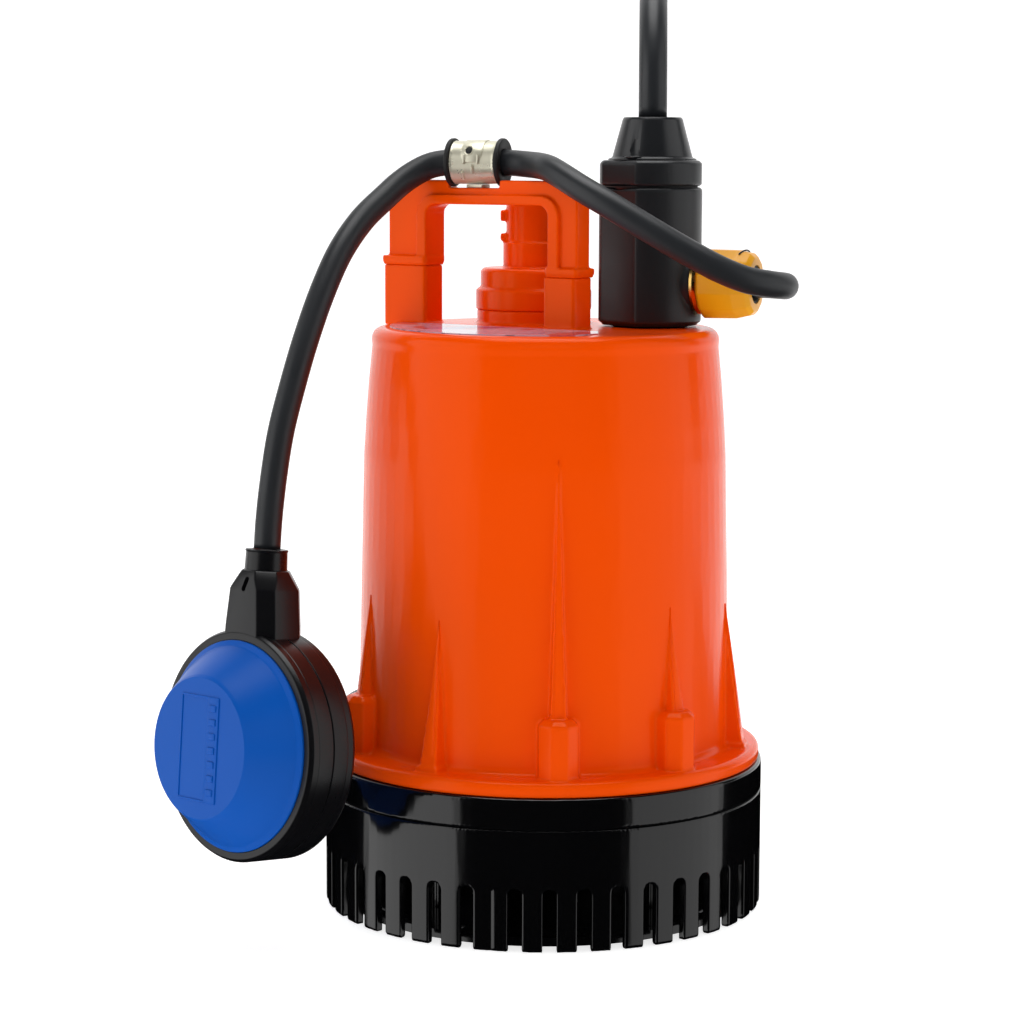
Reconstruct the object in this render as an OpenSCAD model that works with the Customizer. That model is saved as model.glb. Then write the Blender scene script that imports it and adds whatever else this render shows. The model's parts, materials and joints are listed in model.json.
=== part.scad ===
// Portable submersible drainage pump with an external float switch.
// Origin: centre of the base's underside. +X right, +Y back, +Z up. Millimetres.

/* [Base] */
// Radius of the black strainer base
base_r = 78.2; // [74:0.1:82]
// Height of the strainer, up to its parting line
strainer_h = 41.6; // [38:0.1:42.5]
// Height of the base and its upper ring
base_h = 52.5; // [52:0.1:53]
// Number of suction slots, before the one wide tooth
slot_count = 41; // [24:1:44]
// Width of one suction slot
slot_w = 4.8; // [3:0.1:6]
// Height of one suction slot
slot_h = 21.6; // [14:0.1:23]

/* [Casing] */
// Radius of the casing's flange
flange_r = 77.2; // [76:0.1:78]
// Height of the flat deck on top of the casing
deck_z = 205.5; // [205:0.1:206]
// Wall of the casing
casing_wall = 3; // [2:0.1:4]
// Radius of a screw boss
boss_r = 6.8; // [6:0.1:8]
// Height of a screw boss over the base
boss_top_z = 78; // [74:0.1:84]
// Height at which a short rib over a screw boss runs out on the casing
rib_top_z = 111; // [95:1:125]
// Height at which a rib between the screw bosses runs out on the casing
plain_rib_top_z = 107.5; // [95:0.5:120]
// Height at which the two long ribs run out on the casing
long_rib_top_z = 163; // [130:1:180]

/* [Handle] */
// Turn of the handle about the vertical, clockwise from the X axis
handle_turn = 37; // [36:0.5:38]
// Top of the handle's crossbar
handle_top_z = 256.8; // [256:0.1:258]
// Depth of the handle's inner rim
rim_depth = 11; // [9:0.1:12]
// Depth of the handle's web
web_depth = 7.5; // [6:0.1:8]

/* [Cable housing] */
// Height of the joint between the housing and its cap
housing_top_z = 254.6; // [254:0.1:255]
// Radius of the housing
housing_r = 18.2; // [18:0.1:18.3]
// Top of the rubber boot, where the power cord leaves
boot_top_z = 279; // [278:0.5:280]

/* [Cords] */
// Diameter of the power cord
power_d = 10; // [9:0.5:10]
// Diameter of the float's cord
float_cord_d = 9.2; // [9:0.1:9.5]

/* [Float] */
// Radius of the float's round case
float_r = 39.4; // [38:0.1:40]
// Thickness of the case at its rim
float_case_t = 20.4; // [18:0.1:21]
// How far the front cap stands out of the case
cap_proud = 15.4; // [12:0.1:16]
// How far the back cap, which faces the pump, stands out of the case
back_cap_proud = 11; // [8:0.1:12]

/* [Motor] */
// Radius of the sealed motor can
can_r = 51; // [50:0.5:53]
// Radius of the shaft
shaft_r = 6; // [5.5:0.1:6]
// Radius of the rotor core
rotor_r = 27.6; // [26:0.1:27.7]
// Number of vanes on the impeller
vane_count = 6; // [3:1:8]

/* [Hidden] */
$fn = 72;
ORANGE = "#f4500f";
BLACK = "#1b1c1e";
RUBBER = "#26282a";
BLUE = "#1750b0";
BRASS = "#e0a21c";
STEEL = "#b9bcc0";
COPPER = "#b4602a";

// Casing profile: radius of the outer wall at a few heights
flange_top_z = 57.8;
body_outline = [[66.4, 62], [65.6, 98], [65.1, 122], [64.2, 161], [63.4, 174], [62.4, 187], [61.2, 199]];
shoulder_r = 4;
deck_r = 57.4;
boss_ring_r = 68;
screw_turns = [3.5, 40.5, 111.5, 183.5, 220.5, 291.5];
rib_turns = [77, 149, 247, 326.5];
boss_bore_r = 2.1;
screw_r = 2;

// Handle: its own frame has U along the crossbar and V across it
handle_mid = [-20, 6.5];
leg_in = [-24.6, 29.4];
leg_out = [-43, 41];
rim_w = 4.6;
socket_mid = [-34.5, 34.3];
socket_w = [19.4, 13.6];
socket_top_z = [226.2, 223.4];
socket_wall = 2;
collar_h = 3.3;
collar_over = [1.2, 0.8];
collar_shift = [0, 0.9];
window_top_z = 248.2;
corner_r = 9;
notch_z = 254.1;
notch = [21.6, 18];

outlet_mid = [-4, 25];
outlet_bore_r = 7.5;
stem_foot_r = 11.1;
stem_r = 10;
stem_z = 234.5;
stem_top_z = 249;

housing_mid = [37, 5];
housing_z = 206.1;
housing_flat = 16;
cap_top_z = 264;
port_turn = -21;
port_z = 221;
ring_z = 17.5;
ring_h = 2.6;
gland_end = 39.3;

clip_mid = [-24, 10, 263];
clip_turn = -20;
clip_len = 20.5;
clip_flange_r = 8.6;
band_r = 7.8;
clip_hole_r = 1.6;

float_mid = [-98.2, -54.5, 66];
float_turn = -45;
float_tilt = -5.5;
float_roll = -1.4;
cap_r = 35.9;
plateau_r = 23.8;
case_wall = 2.4;
neck_top = 59.8;
neck_w = [26, 22.6, 17];
ferrule_top = 66.8;
ball_r = 6;

// Upper ring: the hole the volute hangs in, the inside of its wall and the thickness of its floor
seat_r = 56.2;
ring_in_r = 74;
ring_floor = 3;

// Motor and pump levels, all on the pump's own axis
impeller_z = 27;
volute_z = 25;
seal_plate_z = 44;
oil_top_z = 64;
lower_bearing_z = 67;
upper_bearing_z = 168;
can_top_z = 186;
core_z = 92;
core_h = 56;
race_w = 10;
race_out_r = 16;
ball_ring_r = 11;
race_ball_r = 2.95;
balls_per_race = 8;

// Power cord: up out of the boot, over, down behind the pump and onto the floor
power_route = [
    [37.5, 5, 279], [37.5, 5, 284], [37.6, 8.2, 300.1], [38, 17.3, 313.7], [38.6, 30.9, 322.8],
    [39.3, 47, 326], [40, 63.1, 322.8], [40.7, 76.7, 313.7], [41.2, 85.8, 300.1], [41.5, 89, 284],
    [41.6, 89.8, 250], [41.6, 91, 210], [41.5, 92, 165], [41.4, 92.5, 120], [41.3, 93, 80],
    [41.3, 93.2, 48.2], [42.7, 96.1, 32.1], [46.5, 104.4, 18.5], [52.2, 116.8, 9.4], [58.7, 131.7, 6.2]
];
coil_mid = [-8, 156];
coil_in_r = 46;
coil_out_r = 76;
coil_z = 1.2;
coil_h = 40;
plug_y = 114;
plug_x = -35;
plug_z = 60.6;
plug_r = 19;

// Float cord: out of the gland, round in front of the housing, and up to the clip
float_route_upper = [
    [62.2, -4.7, 221], [70.2, -7.7, 221], [77.8, -13.2, 221], [81.9, -21.9, 221.1], [81.1, -31.6, 221.6],
    [75.7, -39.5, 222.5], [67.1, -44.2, 224.2], [57.6, -45.6, 228], [47, -44.2, 233.6], [35, -41.8, 240.6],
    [21, -37, 249], [11.9, -31, 254.3], [5.6, -24.5, 258.3], [1.2, -17.8, 260.9], [-2, -9.5, 261.9],
    [-6.2, -1.4, 262.4], [-14.4, 6.5, 263], [-24, 10, 263], [-33.6, 13.5, 263]
];
// Float cord: from the clip down to the float
float_route_lower = [
    [-33.9, 13.6, 263], [-35.3, 14.1, 263], [-40.8, 14.9, 261.9], [-46.8, 13.5, 259],
    [-52.2, 10.5, 255.1], [-56.9, 6.4, 250.7], [-64.3, -1.1, 243.3], [-71.5, -10.6, 232.5],
    [-77.3, -19.3, 219], [-82.7, -27.8, 202.6], [-86.8, -34.6, 187.5], [-90.5, -40.4, 171.8],
    [-92.9, -44.6, 155.5], [-94.2, -47.8, 142.2], [-94.8, -48.8, 132.6]
];
cord_sides = 10;

// ---------------------------------------------------------------- helpers

function unit(v) = v / norm(v);
function along(p, i) = unit(p[min(i + 1, len(p) - 1)] - p[max(i - 1, 0)]);
function carry(u, t) = unit(u - t * (u * t));
function side_vectors(p) = [
    for (i = 0, u = carry([1, 0.2, 0.1], along(p, 0)); i < len(p);
         i = i + 1, u = carry(u, along(p, min(i, len(p) - 1)))) u
];
// Angles of an arc from a to b in n steps, and its points about c
function arc(c, r, a, b, n) = [for (i = [0:n]) c + r * [cos(a + (b - a) * i / n), sin(a + (b - a) * i / n)]];

// A round cord of diameter d along the points p
module cord(p, d, sides = cord_sides) {
    n = len(p);
    u = side_vectors(p);
    points = [
        for (i = [0:n - 1], k = [0:sides - 1])
            p[i] + d / 2 * (cos(360 * k / sides) * u[i] + sin(360 * k / sides) * cross(along(p, i), u[i]))
    ];
    walls = [
        for (i = [0:n - 2], k = [0:sides - 1])
            [
                i * sides + k, (i + 1) * sides + k,
                (i + 1) * sides + (k + 1) % sides, i * sides + (k + 1) % sides
            ]
    ];
    first = [for (k = [0:sides - 1]) k];
    last = [for (k = [0:sides - 1]) n * sides - 1 - k];
    polyhedron(points, concat(walls, [first, last]), convexity = 10);
}

module ring(r_out, r_in, z, h) {
    translate([0, 0, z]) difference() {
        cylinder(r = r_out, h = h);
        translate([0, 0, -1]) cylinder(r = r_in, h = h + 2);
    }
}

module disc(r, z, h) {
    translate([0, 0, z]) cylinder(r = r, h = h);
}

// Rounded rectangle from exact squares and circles
module rounded(w, d, r) {
    square([w, d - 2 * r], center = true);
    square([w - 2 * r, d], center = true);
    for (x = [-1, 1], y = [-1, 1]) translate([x * (w / 2 - r), y * (d / 2 - r)]) circle(r, $fn = 32);
}

// Turns about the pump's axis are measured from the front, towards the right
module around(turn, r = 0) {
    rotate([0, 0, turn - 90]) translate([r, 0, 0]) children();
}

// The handle's frame: X runs along the crossbar and Y across it
module in_handle() {
    translate([handle_mid.x, handle_mid.y, 0]) rotate([0, 0, -handle_turn]) children();
}

// The port's frame: Z runs out of the port
module in_port() {
    translate([housing_mid.x, housing_mid.y, port_z]) rotate([0, 0, port_turn]) rotate([0, 90, 0]) children();
}

// The float's frame: X across the disc, Y its axis, Z up its neck
module in_float() {
    translate(float_mid) rotate([float_tilt, 0, float_turn]) rotate([0, float_roll, 0]) children();
}

// Stands a profile drawn as radius and depth on the float's axis, side 1 to the front, -1 to the back
module float_side(side) {
    in_float() rotate([90 * side, 0, 0]) children();
}

// ---------------------------------------------------------------- casing

casing_outer = concat(
    [[0, base_h], [flange_r - 0.6, base_h], [flange_r, base_h + 0.6]],
    arc([flange_r - 2.2, flange_top_z - 2.2], 2.2, 0, 90, 4),
    arc([69.2, flange_top_z + 2.8], 2.8, 270, 180, 4),
    body_outline,
    arc([deck_r, deck_z - shoulder_r], shoulder_r, 0, 90, 5),
    [[0, deck_z]]
);
casing_inner = concat(
    [[0, base_h - 1], [65.6, base_h - 1], [64, base_h + 3]],
    [for (p = body_outline) [p.x - casing_wall, p.y]],
    [[58, deck_z - casing_wall], [0, deck_z - casing_wall]]
);

// A rib that narrows to a point where it runs out on the wall
module rib(foot_z, tip_z, w, foot_r) {
    tip_r = 64.6;
    intersection() {
        rotate([90, 0, 0]) translate([0, 0, -w]) linear_extrude(2 * w)
            polygon([[62.6, foot_z], [foot_r, foot_z], [foot_r, foot_z + 3], [tip_r, tip_z], [62.6, tip_z]]);
        rotate([90, 0, 90]) linear_extrude(90)
            polygon([[-w / 2, foot_z - 1], [w / 2, foot_z - 1], [w * 0.44, foot_z + 4], [0.15, tip_z],
                [-0.15, tip_z], [-w * 0.44, foot_z + 4]]);
    }
}

// Eight-sided, with one flat outwards
module boss() rotate([0, 0, 22.5]) {
    translate([0, 0, base_h]) cylinder(r = boss_r + 0.5, h = boss_top_z - base_h - 2, $fn = 8);
    translate([0, 0, boss_top_z - 2]) cylinder(r1 = boss_r + 0.5, r2 = boss_r - 1.7, h = 2, $fn = 8);
}

module socket(i) {
    translate([socket_mid[i], 0, deck_z - 1]) difference() {
        linear_extrude(socket_top_z[i] - deck_z + 1) rounded(socket_w[i], rim_depth, 1.4);
        translate([0, 0, 4])
            linear_extrude(40) rounded(socket_w[i] - 2 * socket_wall, rim_depth - 2 * socket_wall, 0.6);
    }
}

module outer_casing() color(ORANGE) difference() {
    union() {
        difference() {
            rotate_extrude() polygon(casing_outer);
            rotate_extrude() polygon(casing_inner);
        }
        for (t = screw_turns) around(t, boss_ring_r) boss();
        for (t = screw_turns) around(t)
            rib(boss_top_z - 6, t % 180 == screw_turns[0] ? long_rib_top_z : rib_top_z, 6.4, 70.5);
        for (t = rib_turns) around(t) rib(flange_top_z - 1, plain_rib_top_z, 7.4, 72.5);
        for (t = rib_turns) around(t, 70) translate([0, 0, flange_top_z + 0.5])
            cube([7, 9, 3], center = true);
        in_handle() for (i = [0, 1]) socket(i);
        translate([outlet_mid.x, outlet_mid.y, 0]) ring(20.5, 16, deck_z - 1, 6);
    }
    // The inside of the shell stays free where a boss or rib would stand into the water way
    translate([0, 0, base_h - 1]) cylinder(r1 = 62.8, r2 = 61.4, h = 60);
    for (t = screw_turns) around(t, boss_ring_r) disc(boss_bore_r, base_h - 1, 22);
    translate([outlet_mid.x, outlet_mid.y, deck_z - 10]) cylinder(r = 16, h = 20);
    translate([housing_mid.x, housing_mid.y, deck_z - 10]) cylinder(r = 13, h = 20);
}

// ---------------------------------------------------------------- handle and outlet

module arch(grow) {
    leg_l = leg_in[0] - grow[0];
    leg_r = leg_in[1] + grow[1];
    top = window_top_z + grow[2];
    r = grow[3];
    translate([leg_l, 0]) square([leg_r - leg_l, top - r]);
    translate([leg_l + r, 0]) square([leg_r - leg_l - 2 * r, top]);
    for (x = [leg_l + r, leg_r - r]) translate([x, top - r]) circle(r);
}

module arch_band(grow, depth) {
    rotate([90, 0, 0]) translate([0, 0, -depth / 2]) linear_extrude(depth) difference() {
        arch(grow);
        arch([0, 0, 0, 4]);
        translate([-60, 0]) square([60, socket_top_z[0] + collar_h]);
        translate([-1, 0]) square([61, socket_top_z[1] + collar_h]);
    }
}

// The collar is wider than the leg, and narrows to the socket at its lower edge
module collar(i) {
    w = socket_w[i] + collar_over[i];
    d = rim_depth + collar_over[i];
    translate([collar_shift[i], 0, socket_top_z[i]]) {
        translate([0, 0, 1.2]) linear_extrude(collar_h - 1.2) rounded(w, d, 1.6);
        linear_extrude(1.2) rounded(w - 0.8, d - 0.8, 1.2);
    }
}

// The tongue that plugs into the socket
module tongue(i) {
    translate([0, 0, deck_z + 4]) linear_extrude(socket_top_z[i] - deck_z - 4)
        rounded(socket_w[i] - 2 * socket_wall - 0.2, rim_depth - 2 * socket_wall - 0.2, 0.5);
}

module handle() color(ORANGE) difference() {
    in_handle() {
        arch_band([rim_w, rim_w, 3.4, rim_w + 3], rim_depth);
        arch_band(
            [leg_in[0] - leg_out[0], leg_out[1] - leg_in[1], handle_top_z - window_top_z, corner_r],
            web_depth
        );
        for (i = [0, 1]) translate([socket_mid[i], 0, 0]) {
            collar(i);
            tongue(i);
        }
    }
    // A flat notch in the crossbar's top for the cord clip, with its screw hole
    translate([clip_mid.x, clip_mid.y, notch_z]) rotate([0, 0, clip_turn])
        translate([-notch.x / 2, -notch.y / 2, 0]) cube([notch.x, notch.y, 20]);
    translate([clip_mid.x, clip_mid.y, 0]) disc(clip_hole_r, notch_z - 3.1, 6);
}

module hose_outlet() color(ORANGE) translate([outlet_mid.x, outlet_mid.y, 0]) difference() {
    union() {
        disc(15.8, deck_z - 4, 10);
        disc(20.9, deck_z + 5, 6.8);
        translate([0, 0, deck_z + 11.8]) cylinder(r1 = 20.9, r2 = 20, h = 0.9);
        disc(19.2, deck_z + 12.7, 6.1);
        translate([0, 0, deck_z + 18.8]) cylinder(r1 = 19.2, r2 = 18, h = 1.1);
        disc(stem_foot_r, deck_z + 19.9, stem_z - deck_z - 19.9);
        disc(stem_r, stem_z, stem_top_z - 1 - stem_z);
        translate([0, 0, stem_top_z - 1]) cylinder(r1 = stem_r, r2 = stem_r - 0.8, h = 1);
        for (x = [-stem_r - 0.6, stem_r + 0.6]) {
            translate([x, 0, stem_z + 1.8]) cube([3, 4, 2.6], center = true);
            translate([x, 0, stem_z + 9.5]) cube([3, 4, 4], center = true);
        }
    }
    translate([0, 0, deck_z - 10]) cylinder(r = outlet_bore_r, h = 60);
}

module outlet_o_ring() color(RUBBER)
    translate([outlet_mid.x, outlet_mid.y, deck_z - 5.1])
        rotate_extrude() translate([14.6, 0]) circle(1.1, $fn = 24);

module deck_label() color("#d8c9d6") translate([0, 0, deck_z]) linear_extrude(0.35) intersection() {
    circle(55);
    translate([handle_mid.x, handle_mid.y]) rotate(-handle_turn) translate([-60, -70]) square([120, 62.2]);
    translate([-60, -60]) square([77.5, 90]);
}

// ---------------------------------------------------------------- base

// The floor of the upper ring carries the volute and closes the water way
module upper_ring() color(BLACK) difference() {
    union() {
        rotate_extrude() polygon([
            [seat_r, strainer_h], [base_r, strainer_h], [base_r, base_h - 0.6], [base_r - 0.5, base_h],
            [ring_in_r, base_h], [ring_in_r, strainer_h + ring_floor], [seat_r, strainer_h + ring_floor]
        ]);
        for (t = screw_turns) around(t, boss_ring_r) disc(boss_r, strainer_h, base_h - strainer_h - 1);
    }
    for (t = screw_turns) around(t, boss_ring_r) disc(screw_r + 0.3, strainer_h - 1, 20);
}

// The row of slots runs round from one side of the wide tooth to the other
first_slot_turn = -7.6;
slot_pitch = 347.6 / (slot_count - 1);
module strainer_base() color(BLACK) difference() {
    union() {
        ring(base_r, base_r - 3.2, 0.6, strainer_h - 0.6);
        ring(base_r - 0.5, base_r - 3.2, 0, 0.6);
        ring(base_r - 3, seat_r, slot_h + 3, 2.6);
        for (t = screw_turns) around(t, boss_ring_r) disc(boss_r, slot_h + 3, strainer_h - slot_h - 3);
    }
    for (i = [0:slot_count - 1]) around(first_slot_turn + i * slot_pitch, base_r - 6)
        rotate([90, 0, 90]) linear_extrude(12) translate([0, slot_h / 2 - 2]) rounded(slot_w, slot_h + 4, 2);
    // The wide tooth has only a shallow groove
    around(first_slot_turn - 6, base_r) translate([-0.6, -0.8, -1]) cube([2, 1.6, slot_h + 1]);
    for (t = screw_turns) around(t, boss_ring_r) {
        disc(screw_r + 0.3, 10, 40);
        disc(4, slot_h + 2, 5);
    }
}

plate_post_r = 50;
module bottom_plate() color(BLACK) {
    difference() {
        disc(70, 0, 3);
        for (t = [0:15:345]) around(t, 63) cube([6, 9, 12], center = true);
    }
    for (t = [45:90:315]) around(t, plate_post_r) disc(4, 3, volute_z - 6);
}

module suction_plate() color(STEEL) difference() {
    disc(56, volute_z - 3, 3);
    disc(16, volute_z - 4, 5);
}

module base_screws() color(STEEL) for (t = screw_turns) around(t, boss_ring_r) {
    disc(3.6, slot_h + 3.4, 3.4);
    disc(screw_r, slot_h + 6.8, 44);
}

module base_o_ring() color(RUBBER) translate([0, 0, base_h - 1.1])
    rotate_extrude() translate([60.2, 0]) circle(1.1, $fn = 24);

// ---------------------------------------------------------------- pump end

module volute() color(BLACK) difference() {
    union() {
        disc(56, volute_z, strainer_h + ring_floor + 1 - volute_z);
        disc(59.4, strainer_h + ring_floor, base_h - 2 - strainer_h - ring_floor);
    }
    disc(42, volute_z - 1, 14);
    disc(14, volute_z, 40);
    // Six ways up, each fed through a short channel
    for (t = [30:60:330]) around(t, 48) {
        disc(5, volute_z + 9, 40);
        translate([-8, -3.5, volute_z + 8]) cube([8, 7, 4]);
    }
    disc(46.4, seal_plate_z, 20);
}

module oil_chamber() color(STEEL) difference() {
    union() {
        disc(46, seal_plate_z + 0.2, 3);
        disc(38, seal_plate_z + 3, oil_top_z - seal_plate_z - 3);
    }
    disc(34, seal_plate_z + 5, oil_top_z - seal_plate_z - 8);
    disc(11.4, seal_plate_z - 1, 40);
}

module shaft_seal_seat() color("#d9d4c8") ring(11.4, 6.6, seal_plate_z + 0.4, 4.6);

module shaft_seal_ring() color(STEEL) {
    ring(9.4, shaft_r, seal_plate_z + 5.1, 4);
    ring(8.4, shaft_r, seal_plate_z + 9.1, 7);
}

module impeller() color(BLACK) {
    ring(39, shaft_r, impeller_z + 8, 2.4);
    ring(11, shaft_r, impeller_z + 4, 11);
    for (i = [0:vane_count - 1]) rotate([0, 0, i * 360 / vane_count])
        translate([9, -18, impeller_z + 1]) intersection() {
            rotate_extrude(angle = 88) translate([22, 0]) square([2.4, 7.4]);
            translate([-9, 18, -1]) cylinder(r = 38.4, h = 12);
        }
}

module impeller_nut() color(BRASS) difference() {
    union() {
        translate([0, 0, impeller_z - 4]) cylinder(r = 8, h = 6, $fn = 6);
        translate([0, 0, impeller_z - 6]) cylinder(r1 = 4, r2 = 6.5, h = 2);
    }
    disc(shaft_r - 1, impeller_z - 2, 10);
}

// ---------------------------------------------------------------- motor

module motor_can() color(STEEL) {
    ring(can_r, can_r - 1.2, oil_top_z - 2, can_top_z - oil_top_z - 2);
    ring(can_r, 38, oil_top_z - 4, 2);
}

module lower_end_shield() color(STEEL) difference() {
    union() {
        disc(can_r - 1.2, oil_top_z + 0.1, 4);
        disc(20, oil_top_z + 0.1, lower_bearing_z + race_w - oil_top_z);
    }
    disc(9.6, oil_top_z - 1, 30);
    disc(race_out_r, lower_bearing_z, 20);
}

module upper_end_shield() color(STEEL) difference() {
    union() {
        disc(can_r - 1.2, upper_bearing_z + race_w + 1, 4);
        disc(20, upper_bearing_z, race_w + 3);
        disc(can_r, can_top_z - 4, 4);
        ring(can_r - 1.2, can_r - 4, upper_bearing_z + race_w + 4, 10);
    }
    disc(race_out_r, upper_bearing_z - 1, race_w + 1);
    disc(9.6, upper_bearing_z, race_w + 5);
    translate([housing_mid.x, housing_mid.y, upper_bearing_z + race_w]) cylinder(r = 6, h = 12);
}

module stator_core() color("#6d6f73") difference() {
    ring(can_r - 1.3, rotor_r + 0.8, core_z, core_h);
    for (t = [0:15:345]) around(t, 36) translate([0, 0, core_z + core_h / 2])
        cube([9, 4.4, core_h + 2], center = true);
}

module stator_winding() color(COPPER) {
    for (t = [0:15:345]) around(t, 36) translate([0, 0, core_z + core_h / 2])
        cube([8.6, 4, core_h + 0.2], center = true);
    for (z = [core_z - 12.1, core_z + core_h + 0.1]) translate([0, 0, z]) rotate_extrude()
        translate([37, 6]) rounded(14, 12, 4);
}

module thermal_protector() color("#c9c2ae")
    around(200, 37) translate([0, 0, core_z + core_h + 14.7]) cube([9, 16, 5], center = true);

module race_groove(z) {
    translate([0, 0, z + race_w / 2]) rotate_extrude() translate([ball_ring_r, 0])
        circle(race_ball_r + 0.06, $fn = 40);
}

module bearing_outer_races() color(STEEL) for (z = [lower_bearing_z, upper_bearing_z]) difference() {
    ring(race_out_r, 13, z, race_w);
    race_groove(z);
}

module bearing_inner_races() color(STEEL) for (z = [lower_bearing_z, upper_bearing_z]) difference() {
    ring(9, shaft_r, z, race_w);
    race_groove(z);
}

module bearing_balls() color("#e6e8ea") for (z = [lower_bearing_z, upper_bearing_z])
    for (i = [0:balls_per_race - 1]) rotate([0, 0, i * 360 / balls_per_race])
        translate([ball_ring_r, 0, z + race_w / 2]) sphere(race_ball_r, $fn = 32);

module shaft() color(STEEL) {
    disc(shaft_r - 1, impeller_z - 2, 6);
    disc(shaft_r, impeller_z + 4, upper_bearing_z + race_w + 2 - impeller_z - 4);
}

module rotor_core() color("#7d8085") ring(rotor_r, shaft_r, core_z, core_h);

module rotor_end_rings() color("#c5c8cb") for (z = [core_z - 6, core_z + core_h]) ring(rotor_r - 1, 17, z, 6);

// ---------------------------------------------------------------- cable housing

// A round outline with one flat towards the handle
module housing_outline(r, cut) {
    difference() {
        circle(r);
        rotate(222) translate([cut, -30]) square([30, 60]);
    }
}

module housing_slab(r, cut, z, h) {
    translate([housing_mid.x, housing_mid.y, z]) linear_extrude(h) housing_outline(r, cut);
}

module cable_housing() color(BLACK) difference() {
    union() {
        difference() {
            union() {
                housing_slab(housing_r - 1.2, housing_flat - 1, housing_z, 1);
                housing_slab(housing_r, housing_flat, housing_z + 1, housing_top_z - housing_z - 1.6);
                housing_slab(housing_r - 0.8, housing_flat - 0.8, housing_top_z - 0.6, 0.6);
                in_port() translate([0, 0, 10]) cylinder(r1 = 12.4, r2 = 10.3, h = 5.5);
                in_port() disc(10.3, 15.5, 4);
            }
            // The flat face that the gland's ring sits on
            in_port() disc(11.4, ring_z, 10);
        }
        translate([housing_mid.x, housing_mid.y, deck_z - 4]) cylinder(r = 12.8, h = 6);
        translate([housing_mid.x, housing_mid.y, can_top_z]) cylinder(r = 9, h = deck_z - can_top_z);
        in_port() disc(7, 15.5, 6.5);
    }
    translate([housing_mid.x, housing_mid.y, deck_z + 6]) cylinder(r = 15.4, h = 60);
    translate([housing_mid.x, housing_mid.y, can_top_z - 1]) cylinder(r = 6, h = 60);
    in_port() disc(5.4, 8, 20);
}

module cable_cap() color(BLACK) difference() {
    union() {
        housing_slab(housing_r - 0.8, housing_flat - 0.8, housing_top_z + 0.4, 0.6);
        housing_slab(housing_r - 0.2, housing_flat, housing_top_z + 1, cap_top_z - housing_top_z - 1.8);
        housing_slab(housing_r - 1, housing_flat - 0.8, cap_top_z - 0.8, 0.8);
        translate([housing_mid.x, housing_mid.y, housing_top_z - 4]) cylinder(r = 15.2, h = 5);
    }
    translate([housing_mid.x, housing_mid.y, housing_top_z - 5]) cylinder(r = 11, h = 12);
    translate([housing_mid.x + 0.5, housing_mid.y, housing_top_z]) cylinder(r = 9, h = 20);
}

module cap_o_ring() color(RUBBER) difference() {
    translate([housing_mid.x, housing_mid.y, housing_top_z]) cylinder(r = 16.6, h = 0.4);
    translate([housing_mid.x, housing_mid.y, housing_top_z - 1]) cylinder(r = 15.3, h = 2);
}

module cable_boot() color(RUBBER) translate([housing_mid.x + 0.5, housing_mid.y, 0]) difference() {
    union() {
        disc(8.8, housing_top_z + 1, cap_top_z - housing_top_z);
        translate([0, 0, cap_top_z]) cylinder(r1 = 15.4, r2 = 14.5, h = 0.9);
        translate([0, 0, cap_top_z + 0.9]) cylinder(r1 = 14.5, r2 = 10.4, h = boot_top_z - cap_top_z - 1.3);
        translate([0, 0, boot_top_z - 0.4]) cylinder(r1 = 10.4, r2 = 10, h = 0.4);
    }
    // A pinch mark at the foot of the cone
    rotate([0, 0, 235]) translate([14.6, 0, cap_top_z + 2.6]) rotate([0, -16, 0]) sphere(3, $fn = 24);
}

module run_capacitor() color("#e9e6dc") translate([housing_mid.x - 1, housing_mid.y, deck_z + 6.2])
    cylinder(r = 12.4, h = 36);

module gland_ring() color("#c9a24a") in_port() ring(11, 7.1, ring_z, ring_h);

module gland_nut() color("#f0b31a") in_port() difference() {
    union() {
        disc(11.3, ring_z + ring_h, 0.8);
        translate([0, 0, ring_z + ring_h + 0.8])
            cylinder(r = 12.6, h = gland_end - 5 - ring_z - ring_h - 0.8, $fn = 12);
        translate([0, 0, gland_end - 5]) cylinder(r1 = 12.1, r2 = 11.6, h = 3.2);
        translate([0, 0, gland_end - 1.8]) cylinder(r1 = 11.6, r2 = 9.6, h = 1.8);
    }
    disc(7.1, 19, 5);
    disc(6.6, 22, 20);
}

// The grommet's mouth widens, so that the cord can lean as it leaves
module gland_grommet() color(RUBBER) in_port() difference() {
    ring(6.5, float_cord_d / 2 + 0.1, 24.4, gland_end - 24.7);
    translate([0, 0, gland_end - 5.3]) cylinder(r1 = float_cord_d / 2 - 0.1, r2 = 5.8, h = 5.4);
}

// ---------------------------------------------------------------- cord clip

module in_clip() {
    translate(clip_mid) rotate([0, 0, clip_turn]) rotate([0, 90, 0]) children();
}

module clip_sleeve() color(RUBBER) in_clip() difference() {
    union() {
        disc(band_r - 0.7, -clip_len / 2, clip_len);
        for (z = [-clip_len / 2, clip_len / 2 - 1.8]) disc(clip_flange_r, z, 1.8);
    }
    disc(float_cord_d / 2 + 0.1, -clip_len, 2 * clip_len);
}

module clip_band() color("#cfcabb") {
    in_clip() ring(band_r, band_r - 0.65, -clip_len / 2 + 1.9, clip_len - 3.8);
    translate([clip_mid.x, clip_mid.y, notch_z]) rotate([0, 0, -handle_turn]) difference() {
        translate([-3.5, -2.4, 0]) cube([7, 4.8, 1.2]);
        translate([0, 0, -1]) cylinder(r = clip_hole_r, h = 4);
    }
}

module clip_screw() color(STEEL) translate([clip_mid.x, clip_mid.y, 0])
    disc(clip_hole_r - 0.1, notch_z - 3.1, 4.1);

// ---------------------------------------------------------------- cords

module float_cord_upper() color(RUBBER) cord(float_route_upper, float_cord_d);

module float_cord_lower() color(RUBBER) cord(float_route_lower, float_cord_d);

module power_cord() color(RUBBER) cord(power_route, power_d);

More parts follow.
